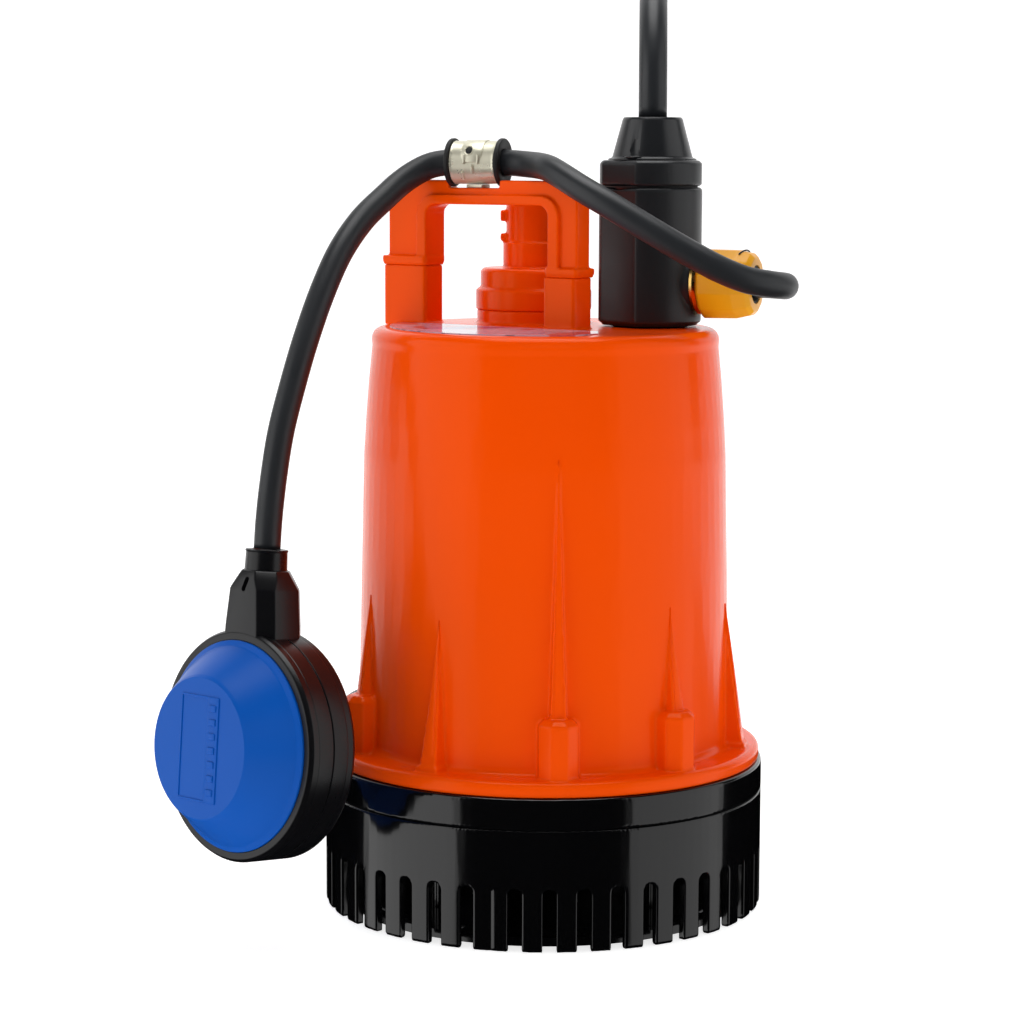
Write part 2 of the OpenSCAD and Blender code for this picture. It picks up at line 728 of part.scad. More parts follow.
module power_cord_coil() color(RUBBER) translate([coil_mid.x, coil_mid.y, coil_z]) rotate_extrude()
    translate([(coil_in_r + coil_out_r) / 2, coil_h / 2]) rounded(coil_out_r - coil_in_r, coil_h, 5);

module coil_tie() color("#3a3c3f") translate([coil_mid.x, coil_mid.y, coil_z]) for (a = [58.5, 238.5])
    rotate([0, 0, a]) rotate_extrude(angle = 13)
    translate([(coil_in_r + coil_out_r) / 2, coil_h / 2]) difference() {
        rounded(coil_out_r - coil_in_r + 2.2, coil_h + 2.2, 6);
        rounded(coil_out_r - coil_in_r + 0.1, coil_h + 0.1, 5);
    }

module plug_body() color(RUBBER) translate([plug_x, plug_y, plug_z]) rotate([0, 90, 0]) difference() {
    union() {
        cylinder(r1 = 6.6, r2 = 8.4, h = 26);
        translate([0, 0, 26]) cylinder(r1 = 8.4, r2 = 15, h = 8);
        disc(15, 34, 16);
        translate([0, 0, 50]) cylinder(r1 = 15, r2 = 18.6, h = 3);
        disc(18.6, 53, 12);
    }
    disc(14.5, 63.5, 4);
}

module plug_pins() color(STEEL) translate([plug_x, plug_y, plug_z]) rotate([0, 90, 0])
    for (y = [-9.5, 9.5]) translate([0, y, 0]) {
        disc(2.4, 63.5, 18);
        translate([0, 0, 81.5]) cylinder(r1 = 2.4, r2 = 1.4, h = 1);
    }

// ---------------------------------------------------------------- float

case_half = float_case_t / 2;

module float_shell() {
    rotate_extrude() polygon(concat(
        [[float_r - case_wall, 0.05], [float_r, 0.05], [float_r, case_half - 2.4]],
        arc([float_r - 2.4, case_half - 2.4], 2.4, 0, 90, 4),
        [[cap_r + 0.1, case_half], [cap_r + 0.1, case_half - 2], [cap_r - 2.2, case_half - 2],
            [cap_r - 2.2, case_half - 4], [float_r - case_wall, case_half - 4]]));
}

// One half of the neck, cut at the disc's plane
module neck_half(side) {
    intersection() {
        in_float() translate([0, 0, float_r - 3]) linear_extrude(neck_top - float_r + 3)
            rounded(neck_w[0], float_case_t - 0.4, 4);
        in_float() rotate([90, 0, 0]) translate([0, 0, -20]) linear_extrude(40)
            polygon([
                [-14, 30], [14, 30], [neck_w[1] / 2, neck_top - 6], [neck_w[2] / 2, neck_top],
                [-neck_w[2] / 2, neck_top], [-neck_w[1] / 2, neck_top - 6]
            ]);
        float_side(side) translate([-40, -90, 0.05]) cube([80, 180, 30]);
    }
}

module float_case(side) {
    difference() {
        union() {
            float_side(side) float_shell();
            neck_half(side);
        }
        in_float() translate([0, 0, 30]) cylinder(r = float_cord_d / 2 + 0.2, h = 60);
    }
}

module float_cap(proud) rotate_extrude() polygon([
    [0, case_half + proud], [plateau_r - 1, case_half + proud], [plateau_r + 0.6, case_half + proud - 1],
    [cap_r - 2.6, case_half + 2.4], [cap_r, case_half + 0.4], [cap_r, case_half - 1.9],
    [cap_r - 2.4, case_half - 1.9], [cap_r - 2.4, case_half + 0.2],
    [plateau_r - 1, case_half + proud - 2.2], [0, case_half + proud - 2.2]
]);

module float_case_front() color(BLACK) float_case(1);

module float_case_back() color(BLACK) float_case(-1);

module float_cap_front() color(BLUE) float_side(1) float_cap(cap_proud);

module float_cap_back() color(BLUE) float_side(-1) float_cap(back_cap_proud);

module float_ferrule() color(RUBBER) in_float() difference() {
    union() {
        disc(7.3, neck_top, ferrule_top - neck_top - 0.5);
        translate([0, 0, ferrule_top - 0.5]) cylinder(r1 = 7.3, r2 = 6.8, h = 0.5);
    }
    disc(float_cord_d / 2 + 0.1, neck_top - 1, ferrule_top);
}

module float_ball_tube() color("#d5d7da") in_float() translate([0, 0, -24]) {
    ring(ball_r + 1.6, ball_r + 0.1, 0, 30);
    disc(ball_r + 1.6, -1.6, 1.6);
}

module float_ball() color("#e6e8ea") in_float() translate([0, 0, -24 + ball_r + 0.05]) sphere(ball_r);

module float_switch() color("#b23a2c") in_float() {
    translate([-7, -5.5, 8]) cube([14, 11, 18]);
    translate([-1.5, -1.5, 6.2]) cube([3, 3, 2]);
    translate([0, 0, 26]) cylinder(r = 3, h = 12);
}

outer_casing();
handle();
hose_outlet();
outlet_o_ring();
deck_label();
upper_ring();
strainer_base();
bottom_plate();
suction_plate();
base_screws();
base_o_ring();
volute();
oil_chamber();
shaft_seal_seat();
motor_can();
lower_end_shield();
upper_end_shield();
stator_core();
stator_winding();
thermal_protector();
bearing_outer_races();
cable_housing();
cable_cap();
cap_o_ring();
cable_boot();
run_capacitor();
gland_ring();
gland_nut();
gland_grommet();
clip_sleeve();
clip_band();
clip_screw();
float_cord_upper();
power_cord();
power_cord_coil();
coil_tie();
plug_body();
plug_pins();
shaft();
rotor_core();
rotor_end_rings();
impeller();
impeller_nut();
bearing_inner_races();
shaft_seal_ring();
bearing_balls();
float_case_front();
float_case_back();
float_cap_front();
float_cap_back();
float_ferrule();
float_switch();
float_ball_tube();
float_ball();
float_cord_lower();
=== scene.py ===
"""Portable submersible drainage pump with a float switch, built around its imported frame.

Blender works in metres. Places and profiles are written in millimetres, and MM turns them into metres.
"""

import json
import math

import bmesh
import bpy
import numpy as np
from mathutils import Matrix, Vector


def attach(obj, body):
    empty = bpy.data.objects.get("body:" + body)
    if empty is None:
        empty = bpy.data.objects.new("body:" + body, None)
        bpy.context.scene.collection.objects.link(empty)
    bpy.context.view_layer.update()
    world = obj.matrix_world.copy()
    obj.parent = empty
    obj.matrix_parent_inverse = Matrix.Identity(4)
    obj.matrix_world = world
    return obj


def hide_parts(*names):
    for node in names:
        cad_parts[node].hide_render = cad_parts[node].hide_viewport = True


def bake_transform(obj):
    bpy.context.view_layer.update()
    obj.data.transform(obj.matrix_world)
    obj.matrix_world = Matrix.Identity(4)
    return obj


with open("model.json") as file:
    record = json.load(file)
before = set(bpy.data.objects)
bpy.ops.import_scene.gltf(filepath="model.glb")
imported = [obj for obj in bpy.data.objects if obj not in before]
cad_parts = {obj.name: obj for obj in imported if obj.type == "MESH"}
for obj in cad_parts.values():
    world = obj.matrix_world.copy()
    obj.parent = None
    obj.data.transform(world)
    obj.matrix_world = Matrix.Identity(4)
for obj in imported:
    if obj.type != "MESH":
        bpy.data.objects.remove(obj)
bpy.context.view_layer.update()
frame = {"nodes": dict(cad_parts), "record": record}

MM = 0.001
scene = bpy.context.scene
nodes = frame["nodes"]


# ---------------------------------------------------------------- camera

PITCH = math.radians(7.16)
ROLL = math.radians(0.2)
LENS = 100.34
SENSOR = 36.0
CAMERA_PLACE = (-0.0116, -1.0098, 0.2662)


def make_camera():
    data = bpy.data.cameras.new("camera")
    data.sensor_width = SENSOR
    data.lens = LENS
    data.clip_start = 0.05
    data.clip_end = 30.0
    camera = bpy.data.objects.new("camera", data)
    scene.collection.objects.link(camera)
    turn = Matrix.Rotation(math.pi / 2 - PITCH, 3, "X") @ Matrix.Rotation(ROLL, 3, "Z")
    camera.matrix_world = Matrix.Translation(CAMERA_PLACE) @ turn.to_4x4()
    scene.camera = camera


make_camera()


# ---------------------------------------------------------------- curves and tubes


def smooth_route(points, per_step=8):
    """A smooth line through the points (centripetal Catmull-Rom), as an array."""
    p = np.array(points, float)
    p = np.vstack([2 * p[0] - p[1], p, 2 * p[-1] - p[-2]])
    line = []
    for a, b, c, d in zip(p, p[1:], p[2:], p[3:]):
        t1 = np.linalg.norm(b - a) ** 0.5
        t2 = t1 + np.linalg.norm(c - b) ** 0.5
        t3 = t2 + np.linalg.norm(d - c) ** 0.5
        for t in np.linspace(t1, t2, per_step, endpoint=False):
            u = a * (t1 - t) / t1 + b * t / t1
            v = b * (t2 - t) / (t2 - t1) + c * (t - t1) / (t2 - t1)
            w = c * (t3 - t) / (t3 - t2) + d * (t - t2) / (t3 - t2)
            q = u * (t2 - t) / t2 + v * t / t2
            r = v * (t3 - t) / (t3 - t1) + w * (t - t1) / (t3 - t1)
            line.append(q * (t2 - t) / (t2 - t1) + r * (t - t1) / (t2 - t1))
    line.append(p[-2])
    return np.array(line)


def even(line, step):
    """The line's points again, about step apart."""
    line = np.array(line, float)
    run = np.concatenate([[0], np.cumsum(np.linalg.norm(np.diff(line, axis=0), axis=1))])
    at = np.linspace(0, run[-1], max(2, int(round(run[-1] / step)) + 1))
    return np.stack([np.interp(at, run, line[:, k]) for k in range(3)], axis=1)


def tube(name, line, radius, sides=24):
    """A closed round tube whose rings are centred on the line's points."""
    line = np.array(line, float)
    tangents = np.gradient(line, axis=0)
    tangents /= np.linalg.norm(tangents, axis=1)[:, None]
    side = np.cross(tangents[0], [0.3, 0.2, 0.9])
    rings = []
    for centre, tangent in zip(line, tangents):
        side = side - tangent * side.dot(tangent)
        side /= np.linalg.norm(side)
        other = np.cross(tangent, side)
        angles = np.arange(sides) * 2 * np.pi / sides
        rings.append(centre + radius * (np.outer(np.cos(angles), side) + np.outer(np.sin(angles), other)))
    points = np.vstack(rings)
    faces = []
    for i in range(len(line) - 1):
        for k in range(sides):
            n = (k + 1) % sides
            faces.append((i * sides + k, i * sides + n, (i + 1) * sides + n, (i + 1) * sides + k))
    faces.append(tuple(range(sides))[::-1])
    faces.append(tuple(range((len(line) - 1) * sides, len(line) * sides)))
    return mesh_object(name, points, faces)


def mesh_object(name, points, faces):
    mesh = bpy.data.meshes.new(name)
    mesh.from_pydata([tuple(p) for p in points], [], [tuple(f) for f in faces])
    mesh.update()
    mesh.shade_smooth()
    piece = bpy.data.objects.new(name, mesh)
    scene.collection.objects.link(piece)
    return piece


# ---------------------------------------------------------------- cords

POWER_D = 0.010
FLOAT_CORD_D = 0.0092
POWER_ROUTE = [
    (37.5, 5, 279), (37.5, 5, 284), (37.6, 8.2, 300.1), (38, 17.3, 313.7), (38.6, 30.9, 322.8),
    (39.3, 47, 326), (40, 63.1, 322.8), (40.7, 76.7, 313.7), (41.2, 85.8, 300.1), (41.5, 89, 284),
    (41.6, 89.8, 250), (41.6, 91, 210), (41.5, 92, 165), (41.4, 92.5, 120), (41.3, 93, 80),
    (41.3, 93.2, 48.2), (42.7, 96.1, 32.1), (46.5, 104.4, 18.5), (52.2, 116.8, 9.4),
]
FLOAT_ROUTE = [
    (62.2, -4.7, 221), (70.2, -7.7, 221), (77.8, -13.2, 221), (81.9, -21.9, 221.1), (81.1, -31.6, 221.6),
    (75.7, -39.5, 222.5), (67.1, -44.2, 224.2), (57.6, -45.6, 228), (47, -44.2, 233.6), (35, -41.8, 240.6),
    (21, -37, 249), (11.9, -31, 254.3), (5.6, -24.5, 258.3), (1.2, -17.8, 260.9), (-2, -9.5, 261.9),
    (-6.2, -1.4, 262.4), (-14.4, 6.5, 263), (-24, 10, 263),
    (-33.9, 13.6, 263), (-40.8, 14.9, 261.9), (-46.8, 13.5, 259), (-52.2, 10.5, 255.1),
    (-56.9, 6.4, 250.7), (-64.3, -1.1, 243.3), (-71.5, -10.6, 232.5), (-77.3, -19.3, 219),
    (-82.7, -27.8, 202.6), (-86.8, -34.6, 187.5), (-90.5, -40.4, 171.8), (-92.9, -44.6, 155.5),
    (-94.2, -47.8, 142.2), (-94.8, -48.8, 132.6),
]
# The float's cord runs from the clip's end down to just above the float
COIL_MID = (-8, 156)
COIL_RADII = (71, 61, 51)
COIL_ROWS = (6.2, 16.2, 26.2, 36.2)
COIL_START = -20
COIL_END = 180
STEPS_PER_TURN = 48
# The share of a turn after which the cord moves over to its next place
MOVE_OVER = 0.82
TAIL_R = 42
PLUG_START = (-35, 114, 60.6)


def smoothstep(t):
    t = min(max(t, 0.0), 1.0)
    return t * t * (3 - 2 * t)


def coil_points():
    """The coil's turns, each a diameter from the next, in layers that go in and out again."""
    cells = []
    for k, z in enumerate(COIL_ROWS):
        cells += [(r, z) for r in (COIL_RADII if k % 2 == 0 else COIL_RADII[::-1])]
    last = (COIL_END - COIL_START) / 360
    points = []
    for k, (r, z) in enumerate(cells):
        following = cells[min(k + 1, len(cells) - 1)]
        share_made = last if k == len(cells) - 1 else 1.0
        for i in range(int(STEPS_PER_TURN * share_made)):
            share = i / STEPS_PER_TURN
            w = smoothstep((share - MOVE_OVER) / (1 - MOVE_OVER))
            radius = r + (following[0] - r) * w
            a = math.radians(COIL_START + 360 * share)
            points.append((
                COIL_MID[0] + radius * math.cos(a),
                COIL_MID[1] + radius * math.sin(a),
                z + (following[1] - z) * w,
            ))
    return points


def tail_points():
    """From the coil's last turn up and round to the plug that lies on the coil."""
    x = COIL_MID[0] - COIL_RADII[0] + TAIL_R
    points = []
    for i in range(13):
        t = i / 12
        a = math.radians(180 + 90 * t)
        z = COIL_ROWS[-1] + (PLUG_START[2] - COIL_ROWS[-1]) * smoothstep(t)
        points.append((x + TAIL_R * math.cos(a), COIL_MID[1] + TAIL_R * math.sin(a), z))
    return points + [(PLUG_START[0] - 2, PLUG_START[1], PLUG_START[2]), PLUG_START]


def make_power_cord():
    """The cord's tube, and the line along its middle."""
    route = np.array(POWER_ROUTE + coil_points() + tail_points()) * MM
    line = even(smooth_route(route, 6), 0.004)
    piece = tube("power_cord_run", line, POWER_D / 2, 20)
    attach(piece, "root")
    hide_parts("power_cord", "power_cord_coil")
    return piece, line


def make_float_cord():
    line = even(smooth_route(np.array(FLOAT_ROUTE) * MM, 12), 0.002)
    piece = tube("float_cord", line, FLOAT_CORD_D / 2, 28)
    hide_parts("float_cord_upper", "float_cord_lower")
    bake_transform(piece)
    return piece


power_cord, power_line = make_power_cord()
float_cord = make_float_cord()


# ---------------------------------------------------------------- materials


class Look:
    """A Principled material whose parts are named nodes."""

    def __init__(self, name, color, rough, metal=0.0):
        self.material = bpy.data.materials.new(name)
        self.material.use_nodes = True
        self.tree = self.material.node_tree
        self.shader = self.tree.nodes["Principled BSDF"]
        self.color = (*color, 1.0)
        self.rough = rough
        self.shader.inputs["Base Color"].default_value = self.color
        self.shader.inputs["Roughness"].default_value = rough
        self.shader.inputs["Metallic"].default_value = metal
        self.where = self.node("ShaderNodeTexCoord")

    def node(self, kind, **values):
        made = self.tree.nodes.new(kind)
        for key, value in values.items():
            if key in made.inputs:
                made.inputs[key].default_value = value
            else:
                setattr(made, key, value)
        return made

    def link(self, a, b):
        self.tree.links.new(a, b)

    def noise(self, scale, detail=3.0, rough=0.5, stretch=(1, 1, 1)):
        made = self.node("ShaderNodeTexNoise")
        made.inputs["Scale"].default_value = scale
        made.inputs["Detail"].default_value = detail
        made.inputs["Roughness"].default_value = rough
        mapping = self.node("ShaderNodeMapping")
        mapping.inputs["Scale"].default_value = stretch
        self.link(self.where.outputs["Object"], mapping.inputs["Vector"])
        self.link(mapping.outputs["Vector"], made.inputs["Vector"])
        return made.outputs["Fac"]

    def span(self, value, low, high, to_low, to_high):
        made = self.node("ShaderNodeMapRange")
        for key, number in zip(("From Min", "From Max", "To Min", "To Max"), (low, high, to_low, to_high)):
            made.inputs[key].default_value = number
        self.link(value, made.inputs["Value"])
        return made.outputs["Result"]

    def mix(self, share, color):
        """Mixes another colour over what the base colour is so far."""
        made = self.node("ShaderNodeMix", data_type="RGBA")
        socket = self.shader.inputs["Base Color"]
        if socket.is_linked:
            self.link(socket.links[0].from_socket, made.inputs["A"])
        else:
            made.inputs["A"].default_value = socket.default_value
        made.inputs["B"].default_value = (*color, 1.0)
        self.link(share, made.inputs["Factor"])
        self.link(made.outputs["Result"], socket)

    def roughen(self, value):
        self.link(value, self.shader.inputs["Roughness"])

    def bump(self, height, strength, distance):
        made = self.node("ShaderNodeBump")
        made.inputs["Strength"].default_value = strength
        made.inputs["Distance"].default_value = distance
        self.link(height, made.inputs["Height"])
        socket = self.shader.inputs["Normal"]
        if socket.is_linked:
            self.link(socket.links[0].from_socket, made.inputs["Normal"])
        self.link(made.outputs["Normal"], socket)


def moulded(name, color, rough, shade=0.9, grain=900, grain_depth=0.00002, gloss=0.5, dust=0.0):
    """Moulded plastic or rubber: faint flow marks, a fine grain and, where asked, specks of dust."""
    look = Look(name, color, rough)
    darker = tuple(c * shade for c in color)
    look.mix(look.span(look.noise(9, 2), 0.3, 0.7, 0.0, 1.0), darker)
    look.roughen(look.span(look.noise(60, 5), 0.3, 0.7, rough * 0.9, min(1.0, rough * 1.12)))
    look.bump(look.noise(grain, 2), 0.3, grain_depth)
    look.shader.inputs["Specular IOR Level"].default_value = gloss
    if dust:
        look.mix(look.span(look.noise(1500, 2, 0.7), 0.72, 0.80, 0.0, dust), (0.5, 0.5, 0.5))
    return look


def metal(name, color, rough, stretch=(1, 1, 40), bare=1.0):
    """Drawn or plated metal with fine lines. Bare is below 1 where the plating is dull."""
    look = Look(name, color, rough, bare)
    look.roughen(look.span(look.noise(120, 4, 0.6, stretch), 0.3, 0.7, rough * 0.7, rough * 1.4))
    look.bump(look.noise(400, 2, 0.5, stretch), 0.15, 0.00002)
    return look


def make_looks():
    made = {
        "casing_orange": moulded("casing_orange", (0.92, 0.074, 0.0003), 0.2, 0.95, 1400, 0.000004, 0.2),
        "base_black": moulded("base_black", (0.002, 0.002, 0.0024), 0.12, 0.8, 1200, 0.000006, 0.5, 0.02),
        "housing_black": moulded(
            "housing_black", (0.014, 0.015, 0.017), 0.38, 0.85, 1500, 0.00002, 0.4, 0.05),
        "seal_rubber": moulded("seal_rubber", (0.008, 0.008, 0.008), 0.6),
        "cord_rubber": moulded("cord_rubber", (0.016, 0.018, 0.021), 0.42, 0.8, 700, 0.00003, 0.45, 0.1),
        "boot_rubber": moulded("boot_rubber", (0.012, 0.013, 0.015), 0.3, 0.85, 1200, 0.00001, 0.5, 0.05),
        # The film's pale lilac base colour is a painted reflection; the print mixed over it below is the
        # film's own
        "label_film": moulded("label_film", (0.6, 0.5, 0.62), 0.12, 0.9),
        "stainless": metal("stainless", (0.5, 0.5, 0.5), 0.3),
        "screw_steel": metal("screw_steel", (0.5, 0.5, 0.5), 0.35),
        "cast_housing": metal("cast_housing", (0.5, 0.51, 0.52), 0.45, (1, 1, 1)),
        "core_steel": metal("core_steel", (0.16, 0.16, 0.17), 0.5, (1, 1, 60)),
        "winding_copper": metal("winding_copper", (0.5, 0.16, 0.06), 0.35),
        "pump_plastic": moulded("pump_plastic", (0.006, 0.006, 0.007), 0.5),
        "ceramic_seal": moulded("ceramic_seal", (0.7, 0.67, 0.58), 0.25),
        "bearing_steel": metal("bearing_steel", (0.6, 0.6, 0.62), 0.12, (1, 1, 1)),
        "nut_brass": metal("nut_brass", (0.6, 0.38, 0.1), 0.3),
        "nut_yellow": moulded("nut_yellow", (0.86, 0.38, 0.006), 0.3, 0.9, 1500, 0.00001, 0.3),
        "ring_gold": metal("ring_gold", (0.75, 0.5, 0.16), 0.2, (1, 1, 1)),
        "clip_nickel": metal("clip_nickel", (0.74, 0.71, 0.56), 0.3, (1, 1, 1), 0.6),
        "float_black": moulded("float_black", (0.004, 0.004, 0.005), 0.3, 0.85, 1500, 0.00001, 0.35),
        "float_blue": moulded("float_blue", (0.002, 0.09, 0.46), 0.34, 0.88, 1500, 0.00001, 0.14),
        "switch_red": moulded("switch_red", (0.4, 0.02, 0.015), 0.4),
        "switch_clear": moulded("switch_clear", (0.6, 0.62, 0.65), 0.25),
        "cap_white": moulded("cap_white", (0.72, 0.7, 0.64), 0.4),
        "tie_black": moulded("tie_black", (0.016, 0.016, 0.018), 0.85),
        "pin_brass": metal("pin_brass", (0.62, 0.58, 0.5), 0.25),
    }
    # The casing's shine keeps some of its own colour
    made["casing_orange"].shader.inputs["Specular Tint"].default_value = (1.0, 0.62, 0.3, 1.0)
    # The film's print: soft blue and red areas and thin lines, with nothing to read
    film = made["label_film"]
    film.mix(film.span(film.noise(26, 1, 0.4, (1, 2.4, 1)), 0.54, 0.58, 0.0, 0.85), (0.05, 0.08, 0.34))
    film.mix(film.span(film.noise(34, 1, 0.4, (2.2, 1, 1)), 0.6, 0.63, 0.0, 0.8), (0.6, 0.03, 0.03))
    film.mix(film.span(film.noise(210, 0, 0.3, (0.25, 2, 1)), 0.58, 0.62, 0.0, 0.6), (0.05, 0.05, 0.12))
    return {name: look.material for name, look in made.items()}


LOOKS = make_looks()


def dress(piece, slot):
    piece.data.materials.clear()
    piece.data.materials.append(LOOKS[slot])


for row in frame["record"]["subparts"]:
    dress(nodes[row["node"]], row["material_slot"])
dress(power_cord, "cord_rubber")
dress(float_cord, "cord_rubber")

# ---------------------------------------------------------------- pieces made from CAD nodes


def evaluated(piece):
    """Applies the piece's modifiers and keeps the result as its mesh."""
    depsgraph = bpy.context.evaluated_depsgraph_get()
    mesh = bpy.data.meshes.new_from_object(piece.evaluated_get(depsgraph))
    piece.modifiers.clear()
    piece.data = mesh
    mesh.name = piece.name
    return piece


def welded(name, *members):
    """A welded copy of some CAD nodes, as one object."""
    bm = bmesh.new()
    for member in members:
        bm.from_mesh(nodes[member].data)
    bmesh.ops.remove_doubles(bm, verts=bm.verts, dist=2e-6)
    mesh = bpy.data.meshes.new(name)
    bm.to_mesh(mesh)
    bm.free()
    piece = bpy.data.objects.new(name, mesh)
    scene.collection.objects.link(piece)
    return piece


def moulded_copy(name, slot, member, voxel, rounds, keep=0.4):
    """A copy of a CAD node with the soft corners it has when it comes out of its mould."""
    piece = welded(name, member)
    remesh = piece.modifiers.new("remesh", "REMESH")
    remesh.mode = "VOXEL"
    remesh.voxel_size = voxel
    smooth = piece.modifiers.new("smooth", "SMOOTH")
    smooth.factor = 0.5
    smooth.iterations = rounds
    thin = piece.modifiers.new("thin", "DECIMATE")
    thin.ratio = keep
    evaluated(piece)
    piece.data.shade_smooth()
    return put(piece, "root", slot, member)


def put(piece, body, slot, *replaced):
    """Gives a finished piece its body, its finish and the CAD nodes that it stands for."""
    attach(piece, body)
    if replaced:
        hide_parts(*replaced)
    dress(piece, slot)
    return piece


# ---------------------------------------------------------------- pieces made from profiles


def frame_of(place, *turns):
    """A local frame: a place in millimetres, then turns in degrees about X, Y or Z."""
    matrix = Matrix.Translation(Vector(place) * MM)
    for axis, degrees in turns:
        matrix = matrix @ Matrix.Rotation(math.radians(degrees), 4, axis)
    return matrix


PORT = frame_of((37, 5, 221), ("Z", -21), ("Y", 90))
CLIP = frame_of((-24, 10, 263), ("Z", -20), ("Y", 90))
FLOAT = frame_of((-98.2, -54.5, 66), ("Z", -45), ("X", -5.5), ("Y", -1.4))
BOOT = frame_of((37.5, 5, 0))


def soften(corners, steps=5):
    """Rounds a profile's corners: each corner is (x, y, radius), and radius 0 keeps it sharp."""
    rounded = []
    count = len(corners)
    for i, (x, y, radius) in enumerate(corners):
        here = np.array([x, y], float)
        before = np.array(corners[i - 1][:2], float) - here
        after = np.array(corners[(i + 1) % count][:2], float) - here
        reach = min(np.linalg.norm(before), np.linalg.norm(after)) / 2
        if radius <= 0 or reach <= 0:
            rounded.append(tuple(here))
            continue
        before /= np.linalg.norm(before)
        after /= np.linalg.norm(after)
        half = math.acos(float(np.clip(before.dot(after), -1, 1))) / 2
        back = min(radius / math.tan(half), reach)
        for t in np.linspace(0, 1, steps + 1):
            a = here + before * back * (1 - t) ** 2 + after * back * t ** 2
            rounded.append(tuple(a))
    return rounded


def lathe(name, corners, matrix, sides=96, closed=True):
    """A profile of (radius, height, fillet) in millimetres, turned about the frame's Z."""
    profile = soften(corners)
    points, faces = [], []
    starts = []
    for r, z in profile:
        starts.append((len(points), 1 if r < 1e-6 else sides))
        for k in range(1 if r < 1e-6 else sides):
            a = 2 * math.pi * k / sides
            points.append(matrix @ (Vector((r * math.cos(a), r * math.sin(a), z)) * MM))
    pairs = list(zip(starts, starts[1:] + starts[:1]))
    for (a, na), (b, nb) in pairs if closed else pairs[:-1]:
        for k in range(sides):
            n = (k + 1) % sides
            ring = [a + k % na, a + n % na, b + n % nb, b + k % nb]
            face = list(dict.fromkeys(ring))
            if len(face) > 2:
                faces.append(face)
    return finish_mesh(mesh_object(name, points, faces))


def finish_mesh(piece, angle=35):
    """Turns every face outwards, and shades smooth with sharp edges where the angle is steep."""
    bm = bmesh.new()
    bm.from_mesh(piece.data)
    bmesh.ops.recalc_face_normals(bm, faces=bm.faces)
    bm.to_mesh(piece.data)
    bm.free()
    piece.data.shade_smooth()
    piece.data.set_sharp_from_angle(angle=math.radians(angle))
    return piece


def loft(name, sections, matrix):
    """Closed sections of equal length, each a list of (x, y, z) in millimetres, skinned and capped."""
    count = len(sections[0])
    points = [matrix @ (Vector(p) * MM) for section in sections for p in section]
    faces = [
        (i * count + k, i * count + (k + 1) % count, (i + 1) * count + (k + 1) % count, (i + 1) * count + k)
        for i in range(len(sections) - 1) for k in range(count)
    ]
    faces.append(tuple(range(count))[::-1])
    faces.append(tuple(range((len(sections) - 1) * count, len(sections) * count)))
    return finish_mesh(mesh_object(name, points, faces))


def bevelled(piece, width, segments=3, angle=30):
    bevel = piece.modifiers.new("bevel", "BEVEL")
    bevel.width = width * MM
    bevel.segments = segments
    bevel.limit_method = "ANGLE"
    bevel.angle_limit = math.radians(angle)
    evaluated(piece)
    return finish_mesh(piece, 50)


def slab(name, size, centre, matrix, bevel=0.3, taper=1.0):
    """A bevelled block in a local frame, narrower at its top where taper is under 1."""
    w, d, h = (s / 2 for s in size)
    x, y, z = centre
    sections = [
        [(x + sx * w * t, y + sy * d * t, z + sz) for sx, sy in ((-1, -1), (1, -1), (1, 1), (-1, 1))]
        for sz, t in ((-h, 1.0), (h, taper))
    ]
    return bevelled(loft(name, sections, matrix), bevel)


def joined(name, pieces):
    """One object from several."""
    bm = bmesh.new()
    for piece in pieces:
        bm.from_mesh(piece.data)
    mesh = bpy.data.meshes.new(name)
    bm.to_mesh(mesh)
    bm.free()
    for piece in pieces:
        bpy.data.objects.remove(piece)
    made = bpy.data.objects.new(name, mesh)
    scene.collection.objects.link(made)
    made.data.shade_smooth()
    made.data.set_sharp_from_angle(angle=math.radians(40))
    return made


def cut(piece, cutter):
    """Takes the cutter out of the piece."""
    boolean = piece.modifiers.new("cut", "BOOLEAN")
    boolean.operation = "DIFFERENCE"
    boolean.solver = "EXACT"
    boolean.object = cutter
    evaluated(piece)
    bpy.data.objects.remove(cutter)
    return finish_mesh(piece, 35)


# ---------------------------------------------------------------- casing, handle, outlet and base


WALL_Z = (62, 98, 122, 161, 174, 187)
WALL_R = (66.4, 65.6, 65.1, 64.2, 63.4, 62.4)
LONG_RIBS = (3.5, 183.5)
BOSS_RIBS = (40.5, 111.5, 220.5, 291.5)
PLAIN_RIBS = (77, 149, 247, 326.5)


def rib_blade(turn, foot_z, tip_z, width, foot_r):
    """The thin end of a rib, drawn out to a point where it runs into the wall."""
    a = math.radians(turn - 90)
    out = Vector((math.cos(a), math.sin(a), 0))
    across = Vector((-math.sin(a), math.cos(a), 0))
    sections = []
    for i in range(13):
        t = i / 12
        z = foot_z + (tip_z - foot_z) * t
        inner = np.interp(z, WALL_Z, WALL_R) - 0.5
        crest = foot_r + (inner + 0.55 - foot_r) * t
        half = max(width / 2 * (1 - t), 0.06)
        flare = half + 0.7 * (1 - t)
        shape = ((inner, -flare), (inner + 0.75, -half), (crest, -half * 0.6), (crest, half * 0.6),
                 (inner + 0.75, half), (inner, flare))
        sections.append([tuple(out * r + across * c + Vector((0, 0, z))) for r, c in shape])
    return bevelled(loft("rib", sections, Matrix.Identity(4)), 0.25, 2, 30)


def make_casing():
    moulded_copy("casing_shell", "casing_orange", "outer_casing", 0.55 * MM, 3)
    blades = [rib_blade(turn, 74, 165, 5.4, 70.6) for turn in LONG_RIBS]
    blades += [rib_blade(turn, 74, 113, 5.4, 70.6) for turn in BOSS_RIBS]
    blades += [rib_blade(turn, 59.3, 109, 6.4, 72.4) for turn in PLAIN_RIBS]
    put(joined("casing_ribs", blades), "root", "casing_orange")


